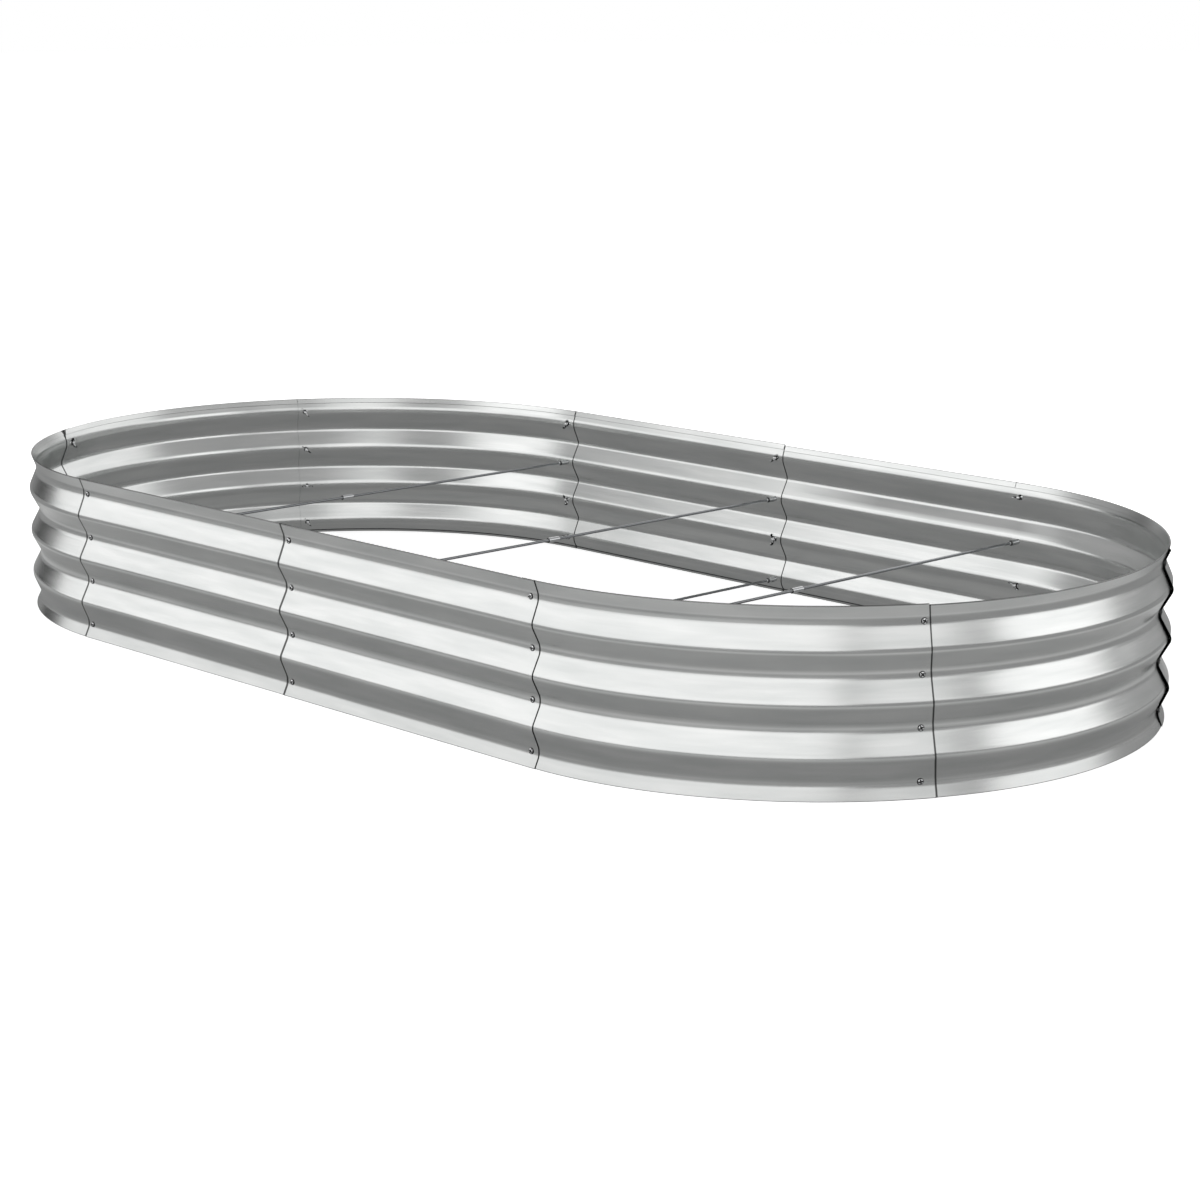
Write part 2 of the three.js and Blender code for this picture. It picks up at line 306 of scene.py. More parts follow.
def add_uv(mesh, name, uv):
    """Adds a UV map from one pair of values for each vertex."""
    corner = np.empty(len(mesh.loops), np.int32)
    mesh.loops.foreach_get("vertex_index", corner)
    mesh.uv_layers.new(name=name).uv.foreach_set("vector", uv[corner].ravel())


def add_painted_shade(mesh, painted_shade):
    """Adds how much painted shade darkens the metal at each vertex, from 0 to 1."""
    mesh.attributes.new("painted_shade", "FLOAT", "POINT").data.foreach_set("value", painted_shade)


def combined(piece, tool, operation):
    """The piece's mesh joined with, or cut by, the tool's, which is then deleted."""
    change = piece.modifiers.new(operation, "BOOLEAN")
    change.operation = operation
    change.solver = "MANIFOLD"
    change.object = tool
    graph = bpy.context.evaluated_depsgraph_get()
    mesh = bpy.data.meshes.new_from_object(piece.evaluated_get(graph))
    piece.modifiers.clear()
    old = piece.data
    piece.data = mesh
    bpy.data.meshes.remove(old)
    bpy.data.objects.remove(tool)
    return piece


def turned(profile, sides):
    """A solid of revolution about Z: (r cos a, r sin a, z) along a profile of (r, z) that starts and ends
    on the axis. Each ring is a row of the grid; the poles are single points."""
    profile = np.asarray(profile, float)
    angle = np.arange(sides) * 2 * math.pi / sides
    radius, height = profile[1:-1, :1], profile[1:-1, 1:]
    points = np.stack(np.broadcast_arrays(radius * np.cos(angle), radius * np.sin(angle), height), -1)
    return closed_rings(points.reshape(-1, 3), sides, (0, 0, profile[0, 1]), (0, 0, profile[-1, 1]))


def closed_rings(points, sides, first_pole, last_pole):
    """Rings of points, one after another, closed by a pole at each end."""
    count = len(points)
    points = np.vstack([points, [first_pole], [last_pole]])
    here = np.arange(sides)
    beside = (here + 1) % sides
    last_ring = count - sides
    faces = [list(q) for q in grid_quads(count // sides, sides)]
    faces += [[count, h, b] for h, b in zip(here, beside)]
    faces += [[count + 1, last_ring + b, last_ring + h] for h, b in zip(here, beside)]
    return points, [f[::-1] for f in faces]


def finished(name, mesh, nodes, slot, *materials):
    """A piece of the bed: smooth but for its sharp edges, riding on the one body in place of its nodes."""
    mesh.name = name
    mesh.shade_smooth()
    mesh.set_sharp_from_angle(angle=math.radians(35))
    for material in materials:
        mesh.materials.append(material)
    piece = new_object(name, mesh)
    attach(piece, "root")
    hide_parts(*nodes)
    if slot != "galvanised_sheet":
        # The photograph shows no smudge of the small parts in the sheet
        piece.visible_glossy = False
        piece.visible_shadow = False
    return piece


# ---- Materials

# Where painted shade darkens the sheet, and how much of its colour it keeps there. The painted shadow line
# along a lap reaches beyond the edge, on the sheet below, and back onto the sheet above.
lap_line = 3.0 * mm
lap_blur = 0.8 * mm
lap_keeps = 0.14
edge_border = 1.0 * mm  # back from a lap's edge, and at the ends of both folds
fold_keeps = 0.5
rim_border = 1.7 * mm  # to each side of the rim's crown
rim_keeps = 0.4
rim_round = 2 * mm  # from the crown to the start of the fold, along the sheet
line_blur = 0.5 * mm
foot_fade = 8 * mm
foot_keeps = 0.84
# Added to the painted shadow line at some laps, by the seam and the side: 1 outside, -1 inside
line_changes = {
    ("front_right", 1): -0.9 * mm,
    ("front_left", 1): 1.6 * mm,
    ("front_middle", 1): 1.6 * mm,
    ("back_left", -1): -1.3 * mm,
    ("back_middle", -1): -1.3 * mm,
    ("back_right", -1): -1.3 * mm,
    ("left_front", -1): -1.3 * mm,
}
quiet_laps = [("back_right", -1), ("left_back", -1)]  # faces where the lap lies tight and no line shows

# Painted shade darkens one band of the back wall's inside: how much it takes away, where that fades in
# and out along the wall and up it, and how far up the metal has to face
band_shade_loss = 0.56
band_shade_along = [(2280 * mm, 2430 * mm), (2980 * mm, 2760 * mm)]
band_shade_height = [(193 * mm, 203 * mm), (218 * mm, 215.5 * mm)]
band_shade_facing = (0.1, 0.2)

MATH = "ShaderNodeMath"
VECTOR_MATH = "ShaderNodeVectorMath"
SEPARATE = "ShaderNodeSeparateXYZ"
PLACE = "ShaderNodeTexCoord"  # its output Object is the place of the point, in the piece's own frame
RANGE = "ShaderNodeMapRange"  # takes input 0 from the range 1 to 2 into the range 3 to 4 and holds it there
most_of_noise = {1: 0.3, 2: 0.7}  # the range that noise mostly stays in


def linear(srgb_hex):
    """An sRGB hex colour as linear red, green, blue and alpha."""
    channels = [int(srgb_hex[i : i + 2], 16) / 255 for i in (1, 3, 5)]
    return [c / 12.92 if c <= 0.04045 else ((c + 0.055) / 1.055) ** 2.4 for c in channels] + [1.0]


def add_node(tree, kind, inputs=None, **settings):
    """A node with its settings. An input is a value, or a link from another node's output."""
    node = tree.nodes.new(kind)
    for name, value in settings.items():
        setattr(node, name, value)
    for name, value in (inputs or {}).items():
        if isinstance(value, bpy.types.NodeSocket):
            tree.links.new(value, node.inputs[name])
        else:
            node.inputs[name].default_value = value
    return node


def new_material(name):
    """An empty node material and its tree."""
    material = bpy.data.materials.new(name)
    material.use_nodes = True
    material.node_tree.nodes.clear()
    return material, material.node_tree


def end_metal(tree, mix, colours, roughness, bumps=(), shade=None, **more):
    """The nodes that every metal here ends in: two sRGB colours mixed, shaded if a shade is given, and some
    roughness and bumps, each of a pattern and its height."""
    dark, light = colours
    mixed = {0: mix, 6: linear(dark), 7: linear(light)}
    colour = add_node(tree, "ShaderNodeMix", mixed, data_type="RGBA").outputs[2]
    if shade:
        colour = add_node(tree, VECTOR_MATH, {0: colour, "Scale": shade}, operation="SCALE").outputs[0]
    inputs = {"Base Color": colour, "Metallic": 1.0, "Roughness": roughness, **more}
    for pattern, height in bumps:
        bump = {"Height": pattern, "Strength": 1.0, "Distance": height}
        if "Normal" in inputs:
            bump["Normal"] = inputs["Normal"]
        inputs["Normal"] = add_node(tree, "ShaderNodeBump", bump).outputs["Normal"]
    shader = add_node(tree, "ShaderNodeBsdfPrincipled", inputs).outputs["BSDF"]
    add_node(tree, "ShaderNodeOutputMaterial", {"Surface": shader})


def streaks(tree, vector, along, across, detail=3.0):
    """Noise drawn out along the sheet: features along and across, in metres, on the sheet's own UV."""
    scale = (1 / along, 1 / across, 1.0)
    stretched = add_node(tree, VECTOR_MATH, {0: vector, 1: scale}, operation="MULTIPLY").outputs[0]
    inputs = {"Vector": stretched, "Scale": 1.0, "Detail": detail}
    return add_node(tree, "ShaderNodeTexNoise", inputs).outputs["Fac"]


def grain(tree, size, detail):
    """Even noise through the solid, with features of a size in metres."""
    place = add_node(tree, PLACE).outputs["Object"]
    inputs = {"Vector": place, "Scale": 1 / size, "Detail": detail}
    return add_node(tree, "ShaderNodeTexNoise", inputs).outputs["Fac"]


def sheet_shade(tree, sheet_uv):
    """Painted shade on the sheet, as the share of its colour that it keeps: less along each lap, over the
    rim, at the ends of its folds, on the foot and on one band of the back wall. All of these multiply. The
    "edges" map holds the distance past a lap's edge and the distance up the sheet from the rim's crown."""
    edges = add_node(tree, "ShaderNodeUVMap", uv_map="edges").outputs["UV"]
    edges = add_node(tree, SEPARATE, {0: edges}).outputs
    on_sheet = add_node(tree, SEPARATE, {0: sheet_uv}).outputs
    from_rim = add_node(tree, MATH, {0: edges["Y"]}, operation="ABSOLUTE").outputs[0]
    place = add_node(tree, PLACE).outputs["Object"]
    height = add_node(tree, SEPARATE, {0: place}).outputs["Z"]
    facing = add_node(tree, "ShaderNodeNewGeometry").outputs["Normal"]
    faces_up = add_node(tree, SEPARATE, {0: facing}).outputs["Z"]
    # Painted shade on one band of the back wall's inside, where the metal faces up
    band_shade = band_shade_loss
    fades = [(on_sheet["X"], *fade) for fade in band_shade_along] + [(height, *fade) for fade in band_shade_height]
    for value, outside, inside in [*fades, (faces_up, *band_shade_facing)]:
        ramp = add_node(tree, RANGE, {0: value, 1: outside, 2: inside, 3: 0.0, 4: 1.0}).outputs[0]
        band_shade = add_node(tree, MATH, {0: band_shade, 1: ramp}, operation="MULTIPLY").outputs[0]
    shade = add_node(tree, MATH, {0: 1.0, 1: band_shade}, operation="SUBTRACT").outputs[0]
    hem_end = hem_height + rim_round - edge_border
    for value, start, end, at_start, at_end in (
        (edges["X"], lap_line - lap_blur, lap_line, lap_keeps, 1.0),
        (from_rim, rim_border - line_blur, rim_border, rim_keeps, 1.0),
        (edges["Y"], hem_end, hem_end + line_blur, 1.0, fold_keeps),
        (on_sheet["Y"], edge_border - line_blur, edge_border, fold_keeps, 1.0),
        (on_sheet["Y"], foot_band, foot_band + foot_fade, foot_keeps, 1.0),
    ):
        line = add_node(tree, RANGE, {0: value, 1: start, 2: end, 3: at_start, 4: at_end}).outputs[0]
        shade = add_node(tree, MATH, {0: shade, 1: line}, operation="MULTIPLY").outputs[0]
    return shade


def galvanised_sheet():
    """Bright hot-dip galvanised steel sheet with a skin-passed zinc coat: a clean cool grey mirror, blurred
    a little, with faint streaks from the rolling and slow waves in the flats that make reflections swim.
    A painted shadow draws a dark line along each lap."""
    material, tree = new_material("skin_passed_galvanised_steel")
    sheet_uv = add_node(tree, "ShaderNodeUVMap", uv_map="sheet").outputs["UV"]
    rolling = streaks(tree, sheet_uv, along=420 * mm, across=2.6 * mm)
    clouds = streaks(tree, sheet_uv, along=160 * mm, across=22 * mm, detail=2.0)
    waves = streaks(tree, sheet_uv, along=300 * mm, across=60 * mm, detail=1.0)
    clouds = add_node(tree, RANGE, {0: clouds, **most_of_noise, 3: 0.0, 4: 1.0}).outputs[0]
    roughness = add_node(tree, RANGE, {0: rolling, **most_of_noise, 3: 0.22, 4: 0.26}).outputs[0]
    bumps = [(rolling, 0.004 * mm), (waves, 0.32 * mm)]
    end_metal(tree, clouds, ("#CED0CF", "#DCDDDC"), roughness, bumps, sheet_shade(tree, sheet_uv))
    return material


def sheared_edge():
    """The cut edge of the sheet: bare steel between the two zinc skins, dull and dark."""
    material, tree = new_material("sheared_edge")
    end_metal(tree, grain(tree, 0.6 * mm, 2.0), ("#4A4B4C", "#77797A"), roughness=0.5)
    return material


def zinc_plate():
    """Bright zinc plating on cold-headed screws: silvery, with a soft mottle, and painted shade that turns
    it black in the depth of the cross and round the foot of the head."""
    material, tree = new_material("zinc_plate")
    mottle = grain(tree, 1.5 * mm, 4.0)
    spread = add_node(tree, RANGE, {0: mottle, **most_of_noise, 3: 0.0, 4: 1.0}).outputs[0]
    roughness = add_node(tree, RANGE, {0: mottle, **most_of_noise, 3: 0.08, 4: 0.16}).outputs[0]
    # Painted shade, from the piece's own attribute
    painted_shade = add_node(tree, "ShaderNodeAttribute", attribute_name="painted_shade").outputs["Fac"]
    painted_shade = add_node(tree, RANGE, {0: painted_shade, 1: 0.05, 2: 0.5, 3: 1.0, 4: 0.05}).outputs[0]
    end_metal(tree, spread, ("#E6E7E8", "#F4F5F6"), roughness, [(mottle, 0.03 * mm)], painted_shade)
    return material


def die_cast_zinc():
    """Die-cast zinc wing nuts under a glossy plating: dark, with the skin of the mould, which breaks the
    light into bright specks. The dark tint keeps their round edges from going pale."""
    material, tree = new_material("die_cast_zinc")
    skin = grain(tree, 3.4 * mm, 1.0)
    specks = add_node(tree, RANGE, {0: skin, 1: 0.48, 2: 0.53, 3: 0.0, 4: 1.0}).outputs[0]
    tint = {"Specular Tint": linear("#202122")}
    end_metal(tree, specks, ("#050506", "#F0F1F2"), 0.16, [(skin, 0.4 * mm)], **tint)
    return material


def drawn_rod(name, dark, light):
    """Cold-drawn, zinc-plated steel rod: darker than the sheet, with fine lines drawn along it. The
    couplings are turned from the same rod and brighter, with painted shade at their ends."""
    material, tree = new_material(name)
    rod_uv = add_node(tree, "ShaderNodeUVMap", uv_map="sheet").outputs["UV"]
    lines = streaks(tree, rod_uv, along=60 * mm, across=0.5 * mm)
    roughness = add_node(tree, RANGE, {0: lines, **most_of_noise, 3: 0.08, 4: 0.16}).outputs[0]
    # Painted shade at a coupling's ends, from the piece's own attribute
    painted_shade = add_node(tree, "ShaderNodeAttribute", attribute_name="painted_shade").outputs["Fac"]
    painted_shade = add_node(tree, RANGE, {0: painted_shade, 1: 0.2, 2: 0.8, 3: 1.0, 4: 0.1}).outputs[0]
    end_metal(tree, lines, (dark, light), roughness, [(lines, 0.01 * mm)], painted_shade)
    return material


sheet_steel = galvanised_sheet()
cut_steel = sheared_edge()
plated = zinc_plate()
nut_metal = die_cast_zinc()
rod_steel = drawn_rod("drawn_rod", "#7E8083", "#A2A4A6")
coupling_steel = drawn_rod("turned_coupling", "#C8CACC", "#E0E1E2")

# ---- Panels

stations_per_curve = 60
stations_per_straight = 16
far_from_lap = 30 * mm
edge_spring = {"right_back": 3.8 * mm}  # how far a lap's free edge springs off its neighbour
spring_hold = 0.4  # how much of that the screws take back
spring_hold_height = 12 * mm
spring_limit = 1.2  # the spring grows no further than this many times lap_reach past the screws
spring_depth = 60 * mm  # vertices further from the wall than this are another part of the sheet
slanted_laps = {"right_front": 18 * mm}  # how far an outer sheet's edge leans over the bed's height
lean_centre = 0.6  # share of the bed's height where that edge stays in its place
trimmed_laps = {"right_front": 0.245}  # how far it falls back over the crests, as a share of their depth
painted_rim_gaps = {"left_front": 9 * mm}  # width of a dark gap painted into the lap line inside, at the top of the rim
painted_gap_depth = 14 * mm


def stations(start, end, count):
    """Distances along the oval for a panel's sections, with some where its laps begin and end."""
    first, last = start + lap_reach, end - lap_reach
    edges = [start - lap_reach, start, first, first + far_from_lap]
    edges += [last - far_from_lap, last, end, end + lap_reach]
    return np.unique(np.round(np.concatenate([edges, np.linspace(first, last, count)]), 7))


def swept(outline, along, layer):
    """An outline of (outward offset, height) carried along the oval: point + (offset + layer) * outward."""
    middle, outward = oval(along)
    offset = outline[None, :, 0] + np.asarray(layer)[:, None]
    flat = middle[:, None, :] + offset[..., None] * outward[:, None, :]
    height = np.repeat(outline[None, :, 1:], len(along), axis=0)
    return np.concatenate([flat, height], -1)


def screw_hole(seam, row):
    end = drill_length / 2
    points, faces = turned([(0, -end), (hole_radius, -end), (hole_radius, end), (0, end)], rod_sides)
    return placed(points, screw_place(seam, row)), faces


def placed(points, place):
    """Points moved to a place given as a matrix."""
    turn = np.array(place.to_3x3())
    return np.asarray(points) @ turn.T + np.array(place.translation)


def fold_cuts(along):
    """The blocks that take a panel's folds away where it laps outside."""
    reach = lap_reach + hem_relief
    faces = [list(q) for q in grid_quads(2, 4)]
    faces += [[0, 1, 2, 3], [7, 6, 5, 4]]
    ends = [along - reach, along + reach]
    return [(swept(space, ends, [OUTER, OUTER]).reshape(-1, 3), faces) for space in fold_spaces()]


def joined(parts):
    """Several sets of points and faces as one."""
    points, faces = [], []
    first = 0
    for part_points, part_faces in parts:
        points.append(part_points)
        faces += [[int(i) + first for i in face] for face in part_faces]
        first += len(part_points)
    return np.vstack(points), faces


def edge_shift(seam, height):
    """How far along the wall the outer sheet's edge has moved: a lean at a seam that is out of plumb, less
    the trim over the crests, which follows depth / 2 * (1 - cos(2 pi * rise / pitch))."""
    lean = slanted_laps.get(seam, 0.0) * (lean_centre - height / bed_height)
    wave = crest_depth / 2 * (1 - np.cos(2 * math.pi * (height - foot_band) / screw_pitch))
    return lean - trimmed_laps.get(seam, 0.0) * wave


def lap_distances(along, height, seams, ends, layers, side):
    """How far a face of the sheet lies beyond the edge at each lap, held at far_from_lap. A covered face
    counts from its neighbour's edge. A lapping face counts from its own, less what leaves the border."""
    distance = np.full((len(along), len(height)), far_from_lap)
    for seam, end, layer, way in zip(seams, ends, layers, (1, -1)):
        if (seam, side) in quiet_laps:
            continue
        past = way * (along - end)[:, None] - line_changes.get((seam, side), 0.0)
        # Painted shade widens the inside line towards the top of the rim, as a dark wedge
        if side < 0 and seam in painted_rim_gaps:
            past = past - painted_rim_gaps[seam] * np.clip((height - bed_height) / painted_gap_depth + 1, 0, 1)
        if layer * side > 0:
            past = past + lap_reach + lap_line - edge_border
        elif side > 0:
            past = past - lap_reach - way * edge_shift(seam, height)
        else:
            past = past - lap_reach
        distance = np.minimum(distance, past)
    return distance


def spring_edges(mesh, seam, way, amount):
    """Lets an outer lap's free edge stand off its neighbour: amount * (d / lap_reach)^2 outward at d past
    the screws, less where a screw holds it, and fading to nothing at the foot."""
    points = vertices(mesh)
    place = screw_place(seam, screw_rows)
    local = (points - np.array(place.translation)) @ np.array(place.to_3x3())
    past = np.clip(-way * local[:, 0] / lap_reach, 0, spring_limit)
    past *= (np.abs(local[:, 0]) < 2 * lap_reach) & (np.abs(local[:, 2]) < spring_depth)
    height = points[:, 2]
    held = sum(np.exp(-(((height - row_height(row)) / spring_hold_height) ** 2)) for row in all_rows)
    free = np.clip(height / foot_band, 0, 1)
    outward = np.array(place.to_3x3().col[2])
    points += (amount * past**2 * (1 - spring_hold * held) * free)[:, None] * outward
    mesh.vertices.foreach_set("co", points.ravel())
    mesh.update()


def panel(name, first_seam, start_layer, end_layer):
    """One sheet: its section carried from lap to lap, sliding from one layer to the other between them,
    drilled for the screws, with the fold cut back where it laps outside."""
    names = [seam for seam, _ in seam_order]
    number = names.index(first_seam)
    last_seam = names[(number + 1) % len(names)]
    length = seam_order[number][1]
    start = seam_along[first_seam]
    end = start + length
    along = stations(start, end, stations_per_curve if length == curved_length else stations_per_straight)
    layer = np.interp(along, [start + lap_reach, end - lap_reach], [start_layer, end_layer])
    line, normal = sheet_line(low_rims.get(name, 0.0))
    count = len(line)
    half = normal * sheet_thickness / 2
    points = swept(np.vstack([line + half, (line - half)[::-1]]), along, layer)
    seams, ends, layers = (first_seam, last_seam), (start, end), (start_layer, end_layer)
    for seam, lap, lap_layer, way in zip(seams, ends, layers, (1, -1)):
        if lap_layer == OUTER:
            free = np.clip(way * (lap - along) / lap_reach, 0, 1)[:, None]
            shift = free * edge_shift(seam, points[..., 2])
            points += shift[..., None] * np.array(screw_place(seam, screw_rows).col[0][:3])

    ring = 2 * count
    rung = np.arange(count - 1)
    ladder = np.stack([rung, rung + 1, ring - 2 - rung, ring - 1 - rung], -1)
    last = (len(along) - 1) * ring
    walls = grid_quads(len(along), ring)
    mesh = new_mesh(name, points, np.vstack([walls, ladder, (last + ladder)[:, ::-1]]))

    # The edges of the sheet are its foot, the end of the fold and both ends
    column = np.tile(np.arange(ring), len(along) - 1)
    is_edge = np.concatenate([(column == ring - 1) | (column == count - 1), np.ones(2 * len(ladder), bool)])
    mesh.polygons.foreach_set("material_index", is_edge.astype(np.int32))

    run = line_length(line)
    run = np.tile(np.concatenate([run, run[::-1]]), len(along))
    rim_run = run[:count][np.argmax(line[:, 1])]
    height = np.concatenate([line[:, 1], line[::-1, 1]])
    outside, inside = [lap_distances(along, height, seams, ends, layers, side) for side in (1, -1)]
    shows_outside = np.concatenate([normal[:, 0] > 0, np.zeros(count, bool)])
    distance = np.where(shows_outside, outside, inside).ravel()
    add_uv(mesh, "sheet", np.stack([np.repeat(along, ring), run], -1))
    add_uv(mesh, "edges", np.stack([distance, run - rim_run], -1))

    cuts = [screw_hole(seam, row) for seam in seams for row in all_rows]
    for end, layer in zip(ends, layers):
        if layer == OUTER:
            cuts += fold_cuts(end)
    cutter = new_mesh("cuts", *joined(cuts))
    for layer_name in ("sheet", "edges"):
        add_uv(cutter, layer_name, np.full((len(cutter.vertices), 2), -far_from_lap))
    for part in (mesh, cutter):
        part.materials.append(sheet_steel)
        part.materials.append(cut_steel)
    sheet = combined(new_object(name + "_blank", mesh), new_object("cuts", cutter), "DIFFERENCE")
    mesh = sheet.data
    bpy.data.objects.remove(sheet)
    for seam, layer, way in zip(seams, layers, (1, -1)):
        if layer == OUTER and seam in edge_spring:
            spring_edges(mesh, seam, way, edge_spring[seam])
    return finished(name + "_sheet", mesh, [name], "galvanised_sheet")


panel("panel_front_right", "front_middle", OUTER, OUTER)
panel("panel_corner_right_front", "front_right", INNER, OUTER)
panel("panel_end_right", "right_front", INNER, INNER)
panel("panel_corner_right_back", "right_back", OUTER, INNER)
panel("panel_back_right", "back_right", OUTER, OUTER)
panel("panel_back_left", "back_middle", INNER, OUTER)
panel("panel_corner_left_back", "back_left", INNER, INNER)
panel("panel_end_left", "left_back", OUTER, INNER)
panel("panel_corner_left_front", "left_front", OUTER, INNER)
panel("panel_front_left", "front_left", OUTER, INNER)

# ---- Screws, along Z with the outside of the bed at +Z


def screw(tip):
    """A pan-head screw with a cross recess, from its tip on the inside to its head, with its painted shade:
    dark in the cross and just round it, and under, round and over the edge of the head. The rings run up
    the shank, out under the head, up its side and over its crown. The crown is
    edge + (height - edge) * sqrt(1 - (r / R)^2), less the depth of the cross, which is the distance
    inside the cross times the slope of its walls. The thread is a ridge that climbs one pitch a turn."""
    sides = screw_sides
    angle = np.arange(sides) * 2 * math.pi / sides
    under = stack_half + seat_gap
    thread_z = np.linspace(tip + 0.2 * mm, tip + thread_shown, 30)
    climb = (thread_z[:, None] / thread_pitch - angle[None, :] / (2 * math.pi)) % 1
    ridge = 1 - np.abs(2 * climb - 1)
    fade = np.clip((thread_z - tip) / thread_pitch, 0, 1)[:, None]
    thread_radius = screw_radius - thread_depth * (1 - ridge * fade)
    thread_radius[-1] = screw_radius
    bevel = 0.25 * mm
    head_side = [(screw_radius, under), (head_radius - bevel, under), (head_radius, under + bevel)]
    head_side += [(head_radius, under + head_edge_height)]
    rings = [(screw_radius - thread_depth - 0.3 * mm, tip, 0.0)]
    rings += [(r, z, 0.0) for r, z in zip(thread_radius, thread_z)]
    rings += [(r, z, 1.0) for r, z in head_side]
    shoulder = 0.6  # share of the head's radius, where even steps of angle give way to even steps of radius
    outer = head_radius * np.sin(np.linspace(math.pi / 2, math.asin(shoulder), 10)[1:])
    inner = np.linspace(shoulder * head_radius, 0.15 * mm, 14)[1:]
    for r in np.concatenate([outer, inner]):
        crown = math.sqrt(1 - (r / head_radius) ** 2)
        x, y = np.abs(r * np.cos(angle)), np.abs(r * np.sin(angle))
        level_arm = np.maximum(x - recess_reach, y - recess_half_width)
        upright_arm = np.maximum(y - recess_reach, x - recess_half_width)
        outside_cross = np.minimum(level_arm, upright_arm)
        cross = np.clip(-outside_cross * recess_slope, 0, recess_depth)
        # Painted shade: dark in the cross and just round it, and over the outer ring of the crown
        cross_shade = np.clip(1 - outside_cross / cross_shade_reach, 0, 1)
        height = under + head_edge_height + (head_height - head_edge_height) * crown - cross
        rings.append((r, height, np.maximum(cross_shade, r > unshaded_crown * head_radius)))
    radius, height, painted_shade = [np.array([np.broadcast_to(v, sides) for v in part]) for part in zip(*rings)]
    points = np.stack([radius * np.cos(angle), radius * np.sin(angle), height], -1).reshape(-1, 3)
    bottom_of_cross = under + head_height - min(recess_depth, recess_half_width * recess_slope)
    points, faces = closed_rings(points, sides, (0, 0, tip), (0, 0, bottom_of_cross))
    return points, faces, np.append(painted_shade, [0.0, 1.0])


def rounded_plate(outline, thickness, rounding):
    """A flat plate with round edges: each ring is the outline drawn in by rounding * (1 - cos b), at
    (thickness / 2 - rounding) + rounding * sin b from the middle, and mirrored."""
    edges = np.roll(outline, -1, axis=0) - np.roll(outline, 1, axis=0)
    inward = np.stack([-edges[:, 1], edges[:, 0]], -1)
    inward /= np.linalg.norm(inward, axis=1, keepdims=True)
    bend = np.linspace(-math.pi / 2, math.pi / 2, 9)
    flat = thickness / 2 - rounding
    rings = [outline + inward * rounding * (1 - math.cos(b)) for b in bend]
    levels = [math.copysign(flat, b) + rounding * math.sin(b) if b else 0.0 for b in bend]
    points = np.vstack([np.insert(ring, 1, level, axis=1) for ring, level in zip(rings, levels)])
    count = len(outline)
    faces = [list(q) for q in grid_quads(len(bend), count)]
    last = (len(bend) - 1) * count
    faces += [list(range(count)), list(range(last + count - 1, last - 1, -1))]
    return points, faces


def wing_outline():
    """One wing from its root in the hub, as (out, up): its corners rounded."""
    root = nut_top_radius - wing_root_depth
    corners = [
        (root, wing_root_rise),
        (wing_span / 2, wing_shoulder),
        (wing_span / 2 - wing_tip_slant, wing_height),
        (wing_span / 2 - wing_tip_width, wing_height),
        (root, nut_height - wing_root_rise),
    ]
    return filleted(corners, [3 * mm, 1.6 * mm, 1.6 * mm], steps=6)[0]


def wing_nut():
    """A wing nut standing on the origin, its wings along X, away from the wall at +Z: a bored hub with a
    wing on both sides. It is turned over when it is placed."""
    hub = [
        (0, 0),
        (nut_base_radius - 0.3 * mm, 0),
        (nut_base_radius, 0.3 * mm),
        (nut_base_radius - 0.05 * mm, 1.3 * mm),
        (nut_top_radius + 0.35 * mm, 2 * mm),
        (nut_top_radius, nut_height - 0.4 * mm),
        (nut_top_radius - 0.4 * mm, nut_height),
        (0, nut_height),
    ]
    outline = wing_outline()
    right = rounded_plate(outline, wing_thickness, wing_rounding)
    left = rounded_plate((outline * [-1, 1])[::-1], wing_thickness, wing_rounding)
    nut = new_object("wing_nut_blank", new_mesh("hub", *turned(hub, nut_sides)))
    for wing in (right, left):
        nut = combined(nut, new_object("wing", new_mesh("wing", *wing)), "UNION")
    bore = [
        (0, -1 * mm),
        (nut_bore_radius, -1 * mm),
        (nut_bore_radius, nut_height - 0.5 * mm),
        (nut_bore_radius + 1.6 * mm, nut_height + 1.1 * mm),
        (0, nut_height + 1.1 * mm),
    ]
    nut = combined(nut, new_object("bore", new_mesh("bore", *turned(bore, nut_sides))), "DIFFERENCE")
    mesh = nut.data
    mesh.materials.clear()  # the cuts leave an empty slot in the metal's place
    bpy.data.objects.remove(nut)
    return mesh


# How far the wing nuts are turned from level, in degrees, top row first
wing_turns = {
    "left_back": [50, 40, 0, 55],
    "back_left": [120, 0, 60, 5],
    "back_middle": [135, 0, 90, 0],
    "back_right": [0, 0, 30, 75],
    "left_front": [65, 20, 110, 45],
}
turn_step = 37


def wing_turn(number, seam, row):
    if seam in wing_turns:
        return wing_turns[seam][row - 1]
    return (turn_step * (number + 2 * row)) % 180


tie_rods = [
    ("left", "front_left", "back_left", 2),
    ("middle", "front_middle", "back_middle", 2),
    ("right", "front_right", "back_right", 2),
    ("low", "front_middle", "back_middle", screw_rows),
]
rod_ends = {(seam, row) for _, front, back, row in tie_rods for seam in (front, back)}

nut_base = -stack_half - seat_gap
wing_screw_parts = screw(nut_base - nut_height - screw_tip)
rod_screw_parts = screw(nut_base - screw_reach)
nut_mesh = wing_nut()
turned_over = Matrix.Translation((0, 0, nut_base)) @ Matrix.Rotation(math.pi, 4, "X")

